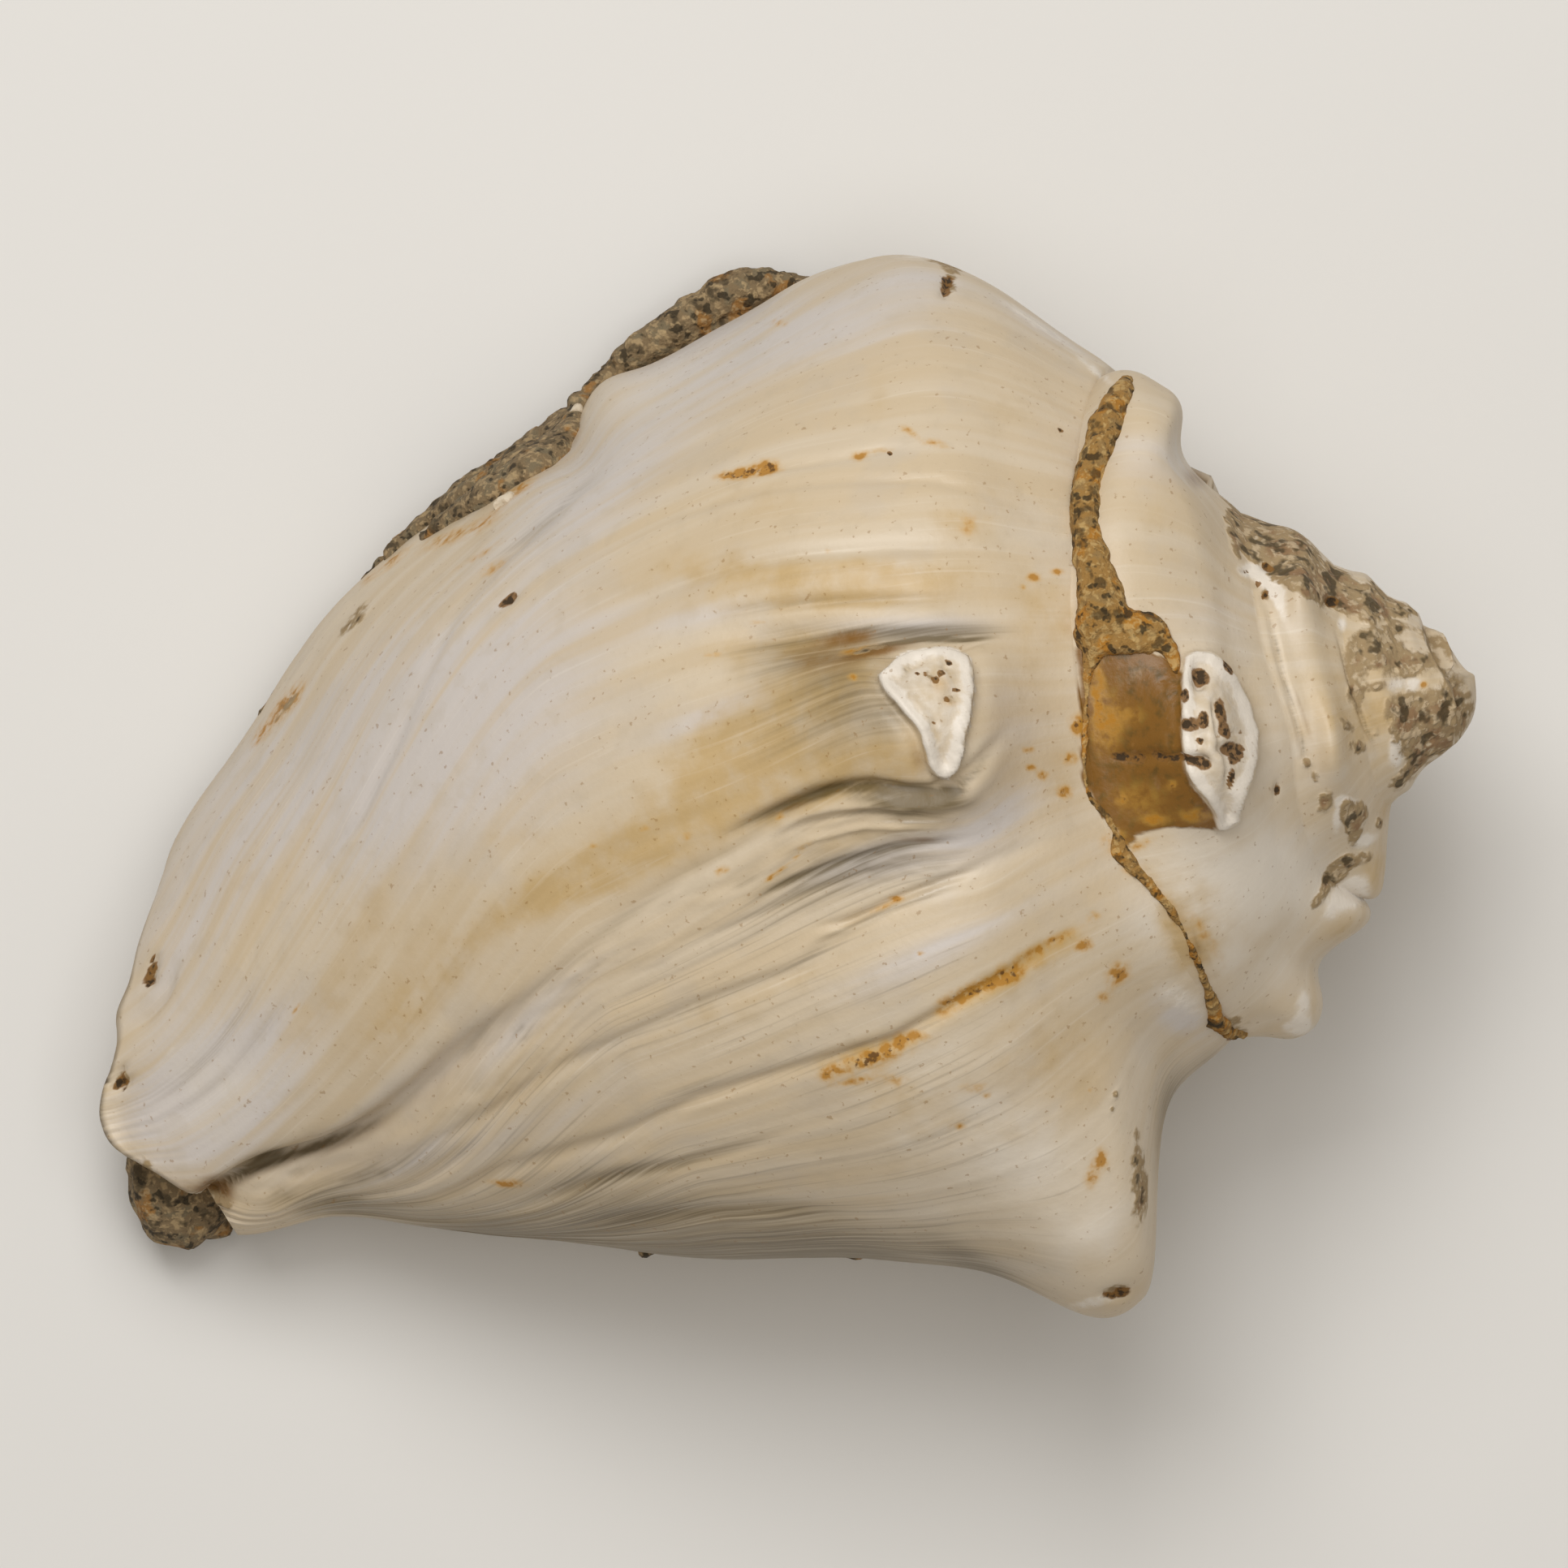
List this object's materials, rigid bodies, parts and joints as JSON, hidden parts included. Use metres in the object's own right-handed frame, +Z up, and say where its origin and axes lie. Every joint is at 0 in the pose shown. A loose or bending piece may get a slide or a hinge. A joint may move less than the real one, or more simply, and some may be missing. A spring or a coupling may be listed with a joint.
{
  "type": "fossil bubonian conch shell",
  "caption": "Heavy knobbed fossil sea shell with a broad lip, a short stepped spire and hardened sediment packed in its mouth and suture, lying on its mouth side.",
  "frame": {"origin": "centre of the bounding box's underside, on the surface the shell lies on", "axes": "+X from the front tip of the canal to the apex of the spire, +Y towards the edge of the outer lip, +Z up, out of the shell's back"},
  "size_m": [0.1139, 0.0878, 0.0623],
  "materials": {
    "shell": "worn satin fossil shell, cream with grey and ochre stains",
    "aperture_matrix": "rough granular sandy sediment",
    "suture_matrix": "rough rust-brown sediment"
  },
  "bodies": {
    "root": {"shell": "shell", "aperture_matrix": "aperture_matrix", "suture_matrix": "suture_matrix"}
  },
  "joints": []
}
